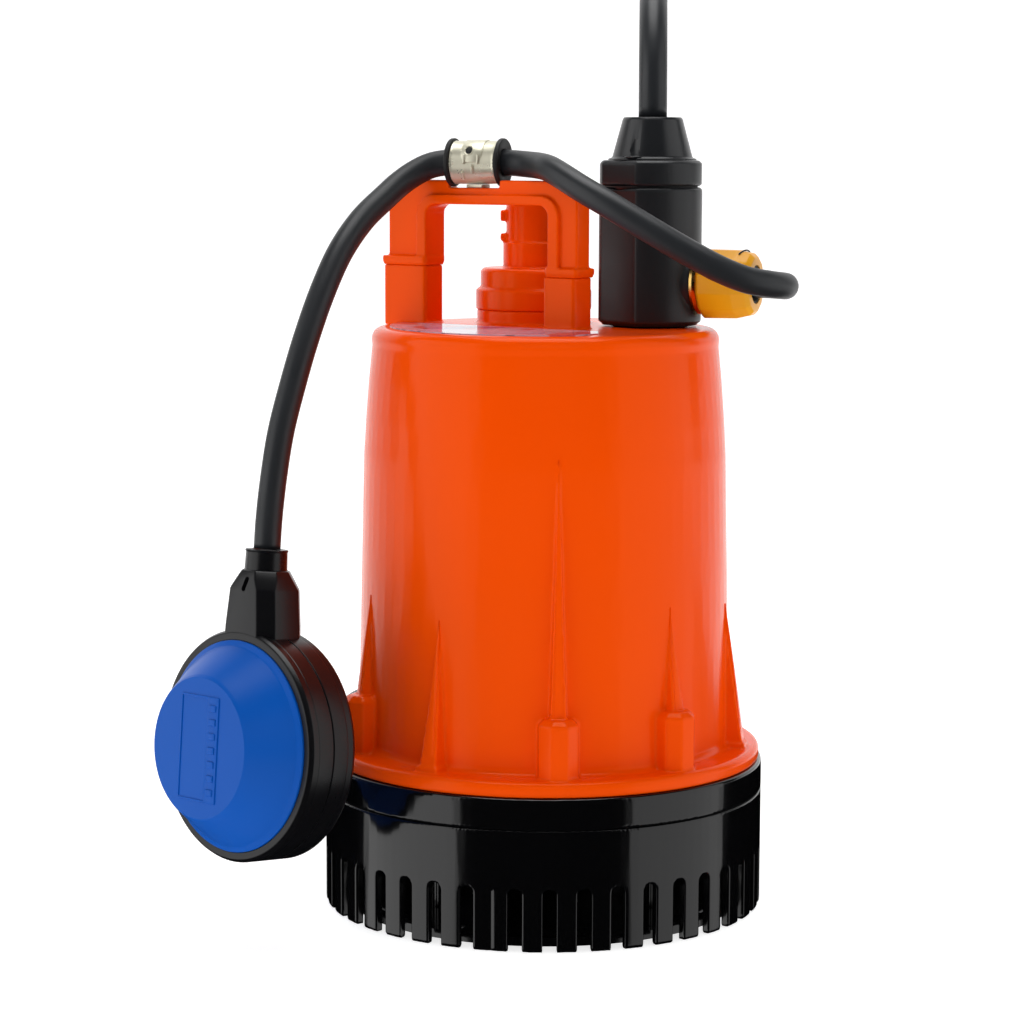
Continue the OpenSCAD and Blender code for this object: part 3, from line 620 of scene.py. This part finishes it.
def make_moulded():
    make_casing()
    moulded_copy("handle_moulded", "casing_orange", "handle", 0.45 * MM, 5)
    moulded_copy("outlet_moulded", "casing_orange", "hose_outlet", 0.45 * MM, 4)
    moulded_copy("strainer_moulded", "base_black", "strainer_base", 0.5 * MM, 2)
    moulded_copy("ring_moulded", "base_black", "upper_ring", 0.6 * MM, 3)
    moulded_copy("housing_moulded", "housing_black", "cable_housing", 0.45 * MM, 6)
    moulded_copy("housing_cap", "housing_black", "cable_cap", 0.45 * MM, 4)
    return moulded_copy("coil_straps", "tie_black", "coil_tie", 0.7 * MM, 4)


# ---------------------------------------------------------------- boot, gland and clip


# A pinch mark at the foot of the boot's cone
SCOOP_TURN = 240
SCOOP_R = 16.2
SCOOP_Z = 268.2


def make_boot():
    boot = lathe("boot_cone", [
        (5.0, 257, 0), (8.7, 257, 0.3), (8.7, 264.05, 0), (15.7, 264.05, 0.25), (15.4, 264.6, 0.3),
        (14.2, 264.9, 2.6), (10.6, 278.2, 0.7), (10.1, 279.0, 0.35), (5.4, 279.0, 0.4), (5.0, 278.0, 0.3),
    ], BOOT)
    turn = math.radians(SCOOP_TURN)
    place = (SCOOP_R * math.cos(turn), SCOOP_R * math.sin(turn), SCOOP_Z)
    scoop = lathe("scoop", [
        (0, -5.2, 0), (2.6, -4.2, 0), (3.6, 0, 0), (2.6, 4.2, 0), (0, 5.2, 0),
    ], BOOT @ frame_of(place, ("Z", SCOOP_TURN), ("Y", -20)), 32, closed=False)
    cut(boot, scoop)
    put(boot, "root", "boot_rubber", "cable_boot")
    lip = tube("boot_lip", [
        BOOT @ (Vector((r * math.cos(math.radians(a)), r * math.sin(math.radians(a)), z)) * MM)
        for a, r, z in (
            (226, 14.5, 264.9), (232, 14.8, 265.1), (238, 14.9, 265), (245, 14.8, 265.1), (252, 14.5, 264.9))
    ], 0.45 * MM, 10)
    put(lip, "root", "boot_rubber")


def polygon_section(r, z, sides, turn=0.0):
    return [
        (r * math.cos(2 * math.pi * (k + turn) / sides), r * math.sin(2 * math.pi * (k + turn) / sides), z)
        for k in range(sides)
    ]


def make_gland():
    trumpet = lathe("port_trumpet", [
        (9, 9, 0), (15.6, 9, 0), (13, 11.2, 2), (11.4, 13.4, 2.5), (10.5, 15.8, 1.5),
        (10.4, 17.45, 0.25), (9, 17.45, 0),
    ], PORT)
    put(trumpet, "root", "housing_black")
    nut = loft("nut", [
        polygon_section(r, z, 12, 0.5)
        for z, r in ((20.3, 11.4), (21.3, 12.45), (33.2, 12.3), (35, 11.75), (37.8, 11.2), (39.3, 9.7))
    ], PORT)
    nut = bevelled(nut, 0.4, 3, 8)
    cut(nut, lathe("bore", [(0, 22, 0), (6.8, 22, 0), (6.8, 42, 0), (0, 42, 0)], PORT, 48, closed=False))
    nut.name = "gland_nut_body"
    put(nut, "root", "nut_yellow", "gland_nut")
    ring = lathe("gland_washer", [
        (7.1, 17.55, 0), (10.7, 17.55, 0.35), (10.95, 18.8, 0.5), (10.7, 20.1, 0.35), (7.1, 20.1, 0),
    ], PORT)
    put(ring, "root", "ring_gold", "gland_ring")
    grommet = lathe("gland_insert", [
        (4.7, 24.5, 0), (6.75, 24.5, 0), (6.75, 38.9, 0.4), (6, 39.1, 0.4), (4.7, 35.2, 0.3),
    ], PORT, 48)
    put(grommet, "root", "seal_rubber", "gland_grommet")
    # Painted shade: a thin black line laid along the edge where the nut's body meets its rounded end
    mark = tube("gland_painted_edge_shade", [
        PORT @ (Vector((11.9 * math.cos(a), 11.9 * math.sin(a), 34.7 + 0.8 * math.sin(3 * (a - 2.4)))) * MM)
        for a in np.linspace(2.5, 3.6, 12)
    ], 0.28 * MM, 8)
    put(mark, "root", "seal_rubber")


def band_patch(name, radius, thick, outline):
    """A thin patch wrapped round the clip: its outline is rows of (turn in degrees, low end, high end)."""
    low, high = [], []
    for (a0, z0, z1) in outline:
        a = math.radians(a0)
        for r, row in ((radius, low), (radius + thick, high)):
            row.append([(r * math.cos(a), r * math.sin(a), z) for z in (z0, z1)])
    sections = []
    for inner, outer in zip(low, high):
        sections.append([inner[0], inner[1], outer[1], outer[0]])
    return bevelled(loft(name, sections, CLIP), 0.12, 2, 40)


# The loop that is crimped into the band, round a small hole
CRIMP_TURN = 237
CRIMP_R = 7.95
CRIMP_Z = -1


def make_clip():
    sleeve = lathe("clip_rubber", [
        (4.85, -10.0, 0.3), (6.9, -10.25, 0.3), (8.5, -10.25, 0.7), (8.6, -8.5, 0.6), (7.1, -8.4, 0.2),
        (7.1, 8.4, 0.2), (8.6, 8.5, 0.6), (8.5, 10.25, 0.7), (6.9, 10.25, 0.3), (4.85, 10.0, 0.3),
    ], CLIP)
    put(sleeve, "root", "seal_rubber", "clip_sleeve")
    band = lathe("band", [
        (7.15, -8.3, 0.1), (7.75, -8.3, 0.2), (7.6, -7.5, 0.3),
        (7.6, 7.5, 0.3), (7.75, 8.3, 0.2), (7.15, 8.3, 0.1),
    ], CLIP)
    lap = band_patch("lap", 7.58, 0.34, [
        (a, -3.9 + 2.4 * max(0, (a - 252) / 18) ** 2, 3.9 - 2.4 * max(0, (a - 252) / 18) ** 2)
        for a in np.linspace(100, 270, 40)
    ])
    crimp_line = []
    for a in np.linspace(0, 2 * math.pi, 25):
        turn = math.radians(CRIMP_TURN + 13 * math.cos(a))
        place = Vector((CRIMP_R * math.cos(turn), CRIMP_R * math.sin(turn), CRIMP_Z + 1.5 * math.sin(a)))
        crimp_line.append(CLIP @ (place * MM))
    crimp = tube("crimp", crimp_line, 0.22 * MM, 8)
    hole = band_patch("clip_hole", 7.8, 0.16, [
        (CRIMP_TURN + 11 * c, CRIMP_Z - 1.2 * math.sqrt(1 - c * c) - 0.05,
         CRIMP_Z + 1.2 * math.sqrt(1 - c * c) + 0.05)
        for c in np.linspace(-0.98, 0.98, 13)
    ])
    put(hole, "root", "seal_rubber")
    tabs = [
        slab("tab", (1.0, 3.2, 0.8), (7.9, 0, z), CLIP @ frame_of((0, 0, 0), ("Z", turn)), 0.2)
        for turn, z in ((262, -2.6), (262, 2.6), (288, 0.4), (306, -3.4))
    ]
    foot = slab("foot", (7, 4.8, 1.2), (0, 0, 0.6), frame_of((-24, 10, 254.1), ("Z", -37)), 0.25)
    put(joined("clip_band_metal", [band, lap, crimp, foot] + tabs), "root", "clip_nickel", "clip_band")


# ---------------------------------------------------------------- float


def octagon(width, depth, chamfer, z, shift=0.0):
    w, d = width / 2, depth / 2
    return [
        (x + shift, y, z) for x, y in (
            (-w + chamfer, -d), (w - chamfer, -d), (w, -d + chamfer), (w, d - chamfer),
            (w - chamfer, d), (-w + chamfer, d), (-w, d - chamfer), (-w, -d + chamfer))
    ]


def make_float_case():
    side = FLOAT @ frame_of((0, 0, 0), ("X", 90))
    ring = lathe("case_ring", [
        (33.8, 9.2, 0.3), (35.8, 9.2, 0.2), (36, 10.2, 0.2), (38.5, 10.2, 1.1), (39.4, 8.6, 0.8),
        (39.3, 6.4, 0.2), (39.4, 6.1, 0.15), (39.4, 0.35, 0.2), (39, 0.1, 0.1), (39, -0.1, 0.1),
        (39.4, -0.35, 0.2),
        (39.4, -6.1, 0.15), (39.3, -6.4, 0.2), (39.4, -8.6, 0.8), (38.5, -10.2, 1.1), (36, -10.2, 0.2),
        (35.8, -9.2, 0.2), (33.8, -9.2, 0.3),
    ], side, 160)
    neck = loft("neck", [
        octagon(26, 20, 4.6, 33), octagon(25.2, 20, 4.6, 41), octagon(22.7, 19.6, 4.6, 53.4),
        octagon(20, 17.8, 5.4, 57), octagon(16.8, 15.4, 5, 59.8),
    ], FLOAT)
    neck = bevelled(neck, 0.55, 3, 12)
    slot = slab("slot", (2, 5, 5), (0, 0, 0), FLOAT @ frame_of((0.6, -9.4, 55), ("Y", 12)), 0.8)
    cut(neck, slot)
    put(joined("float_case", [ring, neck]), "float", "float_black", "float_case_front", "float_case_back")
    ferrule = lathe("float_sleeve", [
        (4.7, 59.4, 0), (7.3, 59.4, 0), (7.3, 60, 0.2), (7.1, 65.9, 0.2), (7.35, 66.3, 0.2), (7.2, 66.8, 0.3),
        (5.4, 66.8, 0.3), (4.7, 66.1, 0.3),
    ], FLOAT, 64)
    put(ferrule, "float", "float_black", "float_ferrule")


# How far each cap stands out from the float's middle plane
FRONT_CAP_TOP = 25.6
BACK_CAP_TOP = 21.2


def make_float_cap(name, side, top, node):
    """A dished cap, side 1 in front and -1 behind, with a framed panel and a row of plain bars."""
    turned = FLOAT @ frame_of((0, 0, 0), ("X", 90 * side))
    cap = lathe("cap", [
        (0, top, 0), (23.8, top, 0.5), (24.7, top - 1, 0.6), (33.9, 11.8, 1.5), (35.85, 10.8, 0.5),
        (35.85, 8.4, 0), (33.6, 8.4, 0), (33.2, 10.6, 0), (23.4, top - 2.1, 0), (0, top - 2.1, 0),
    ], turned, 160, closed=False)
    marks = []
    w, h = 19.0, 35.0
    for x, y, sx, sy in ((-w / 2, 0, 0.8, h), (0, h / 2, w, 0.8), (0, -h / 2, w, 0.8)):
        marks.append(slab("mark", (sx, sy, 0.7), (x, y * side, top), turned, 0.15, 0.96))
    bar_x = w / 2 - 2.4
    marks.append(slab("mark", (5.8, h + 1.2, 0.9), (bar_x, 0, top), turned, 0.2, 0.97))
    for i in range(7):
        y = -h / 2 + 3.4 + i * (h - 6.8) / 6
        marks.append(slab("mark", (3.6, 2.4, 0.6), (bar_x, y, top + 0.6), turned, 0.2, 0.9))
    put(joined(name, [cap] + marks), "float", "float_blue", node)


# ---------------------------------------------------------------- plug


def make_plug():
    plug = frame_of(PLUG_START, ("Y", 90))
    ribs = []
    for i in range(5):
        z = 3.2 + i * 4.2
        r = 6.6 + 1.8 * z / 26
        ribs += [(r, z, 0.4), (r - 1.1, z + 0.5, 0.4), (r - 1.1, z + 1.9, 0.4), (r + 0.15, z + 2.4, 0.4)]
    body = lathe("body", [
        (5.0, 0.0, 0.3), (6.4, 0.0, 0.6)] + ribs + [
        (8.4, 25.6, 1.5), (14.6, 33.4, 3.0), (15.0, 50.0, 1.2), (18.0, 52.6, 1.2),
        (18.6, 54.0, 0.8), (18.6, 65.0, 0.8),
        (14.6, 65.0, 0.4), (14.5, 63.6, 0.2), (5.0, 63.6, 0),
    ], plug, 96)
    lid = lathe("lid", [(0, 60, 0), (14.45, 60, 0), (14.45, 63.5, 0.2), (0, 63.5, 0)], plug, 64, closed=False)
    grips = [
        slab("grip", (1.2, 9, 12), (s * 15.1, 0, 42), plug @ frame_of((0, 0, 0), ("Z", turn)), 0.4)
        for s in (-1, 1) for turn in (-12, 0, 12)
    ]
    return put(joined("plug_moulded", [body, lid] + grips), "root", "cord_rubber", "plug_body")


def make_plug_pins():
    pins = []
    for y in (-9.5, 9.5):
        pins.append(lathe("pin", [
            (0, 63.4, 0), (2.4, 63.4, 0), (2.4, 80.9, 0.6), (1.5, 82.5, 0.6), (0, 82.5, 0),
        ], frame_of(PLUG_START, ("Y", 90)) @ frame_of((0, y, 0)), 32, closed=False))
    return put(joined("plug_contacts", pins), "root", "pin_brass", "plug_pins")


coil_straps = make_moulded()
make_boot()
make_gland()
make_clip()
make_float_case()
make_float_cap("float_cap_a", 1, FRONT_CAP_TOP, "float_cap_front")
make_float_cap("float_cap_b", -1, BACK_CAP_TOP, "float_cap_back")
plug_moulded = make_plug()
plug_contacts = make_plug_pins()


# ---------------------------------------------------------------- stage and light


def sweep(name, profile, seen):
    """A pale sheet drawn along (y, z) points, bright by itself so that it stays even."""
    points = [(x, y, z) for y, z in profile for x in (-4.0, 4.0)]
    faces = [(2 * i, 2 * i + 1, 2 * i + 3, 2 * i + 2) for i in range(len(profile) - 1)]
    sheet = mesh_object(name, points, faces)
    look = Look(name + "_paper", (0.6, 0.6, 0.6), 0.9)
    look.shader.inputs["Emission Color"].default_value = (1.0, 1.0, 1.0, 1.0)
    look.shader.inputs["Emission Strength"].default_value = 0.74
    sheet.data.materials.append(look.material)
    sheet.visible_glossy = seen


def make_stage():
    """A floor that curves up into a backdrop. Only the part behind the pump shows in its gloss."""
    bend = [(1.6 + 0.8 * math.sin(a), 0.8 - 0.8 * math.cos(a)) for a in np.linspace(0.1, math.pi / 2, 12)]
    sweep("floor", [(-3.0, 0.0), (0.3, 0.0)], False)
    sweep("backdrop", [(0.3, 0.0), (1.6, 0.0), *bend, (2.4, 4.0)], True)


def make_light(name, place, aim, size, power, seen=True):
    """A rectangular soft box. Where seen is false it lights the pump without showing in its gloss."""
    data = bpy.data.lights.new(name, "AREA")
    data.shape = "RECTANGLE"
    data.size, data.size_y = size
    data.energy = power
    light = bpy.data.objects.new(name, data)
    scene.collection.objects.link(light)
    light.location = place
    light.rotation_euler = (Vector(aim) - Vector(place)).to_track_quat("-Z", "Y").to_euler()
    light.visible_glossy = seen
    light.visible_camera = False


def make_world():
    world = bpy.data.worlds.new("studio")
    scene.world = world
    world.use_nodes = True
    world.node_tree.nodes["Background"].inputs["Color"].default_value = (1.0, 1.0, 1.0, 1.0)
    # Only the camera sees it, so that it ends the floor in white and leaves the light to the lamps
    world.cycles_visibility.diffuse = False
    world.cycles_visibility.glossy = False


make_stage()
make_world()
AIM = (0, 0, 0.14)
# The two side panels reach below the floor, which hides that part from everything but the gloss
make_light("panel_left", (-1.5, -0.42, 0.35), (0, 0, 0.35), (1.8, 2.3), 19)
make_light("panel_right", (1.5, -0.42, 0.35), (0, 0, 0.35), (1.8, 2.3), 13)
make_light("soft_top", (0.0, 0.1, 1.5), AIM, (1.0, 1.0), 13)
make_light("front_fill", (0.1, -2.2, 1.2), AIM, (1.8, 1.4), 13, seen=False)
make_light("back_fill", (0.0, 1.3, 1.6), AIM, (1.6, 1.0), 8, seen=False)
scene.view_settings.view_transform = "Standard"
